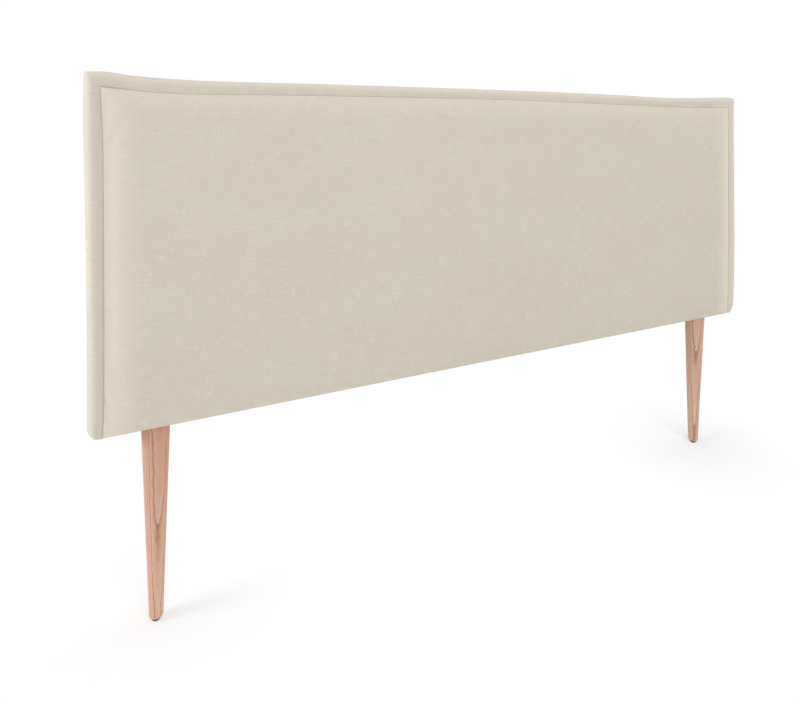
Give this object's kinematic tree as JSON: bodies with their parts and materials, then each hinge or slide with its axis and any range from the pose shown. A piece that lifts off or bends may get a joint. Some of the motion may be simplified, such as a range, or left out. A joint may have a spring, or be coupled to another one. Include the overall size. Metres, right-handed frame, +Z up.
{
  "type": "upholstered headboard",
  "caption": "Wide cloth-covered headboard panel with a padded border roll, standing on turned, tapered wooden legs that screw into its frame.",
  "frame": {"origin": "on the floor, under the middle of the panel's width and depth", "axes": "+X along the width, +Y towards the wall behind the bed, so -Y is the padded front, +Z up"},
  "size_m": [1.604, 0.08, 0.969],
  "materials": {
    "linen_cloth": "matte",
    "dust_cloth": "matte",
    "foam": "matte",
    "hardboard": "matte",
    "pine": "matte",
    "leg_wood": "satin",
    "zinc_steel": "satin",
    "glide_plastic": "matte"
  },
  "bodies": {
    "root": {"cover_centre": "linen_cloth", "cover_border": "linen_cloth", "dust_cover": "dust_cloth", "foam_cushion": "foam", "foam_border_left": "foam", "foam_border_right": "foam", "foam_border_top": "foam", "front_board": "hardboard", "top_rail": "pine", "bottom_rail": "pine", "stile_left": "pine", "stile_right": "pine", "strut_1": "pine", "strut_2": "pine", "leg_block_left": "pine", "leg_block_right": "pine", "corner_block_left": "pine", "corner_block_right": "pine", "leg_left": "leg_wood", "leg_right": "leg_wood", "leg_block_screws": "zinc_steel", "tee_nut_left": "zinc_steel", "tee_nut_right": "zinc_steel", "leg_rod_left": "zinc_steel", "leg_rod_right": "zinc_steel", "glide_nails": "zinc_steel", "glide_left": "glide_plastic", "glide_right": "glide_plastic"}
  },
  "joints": []
}
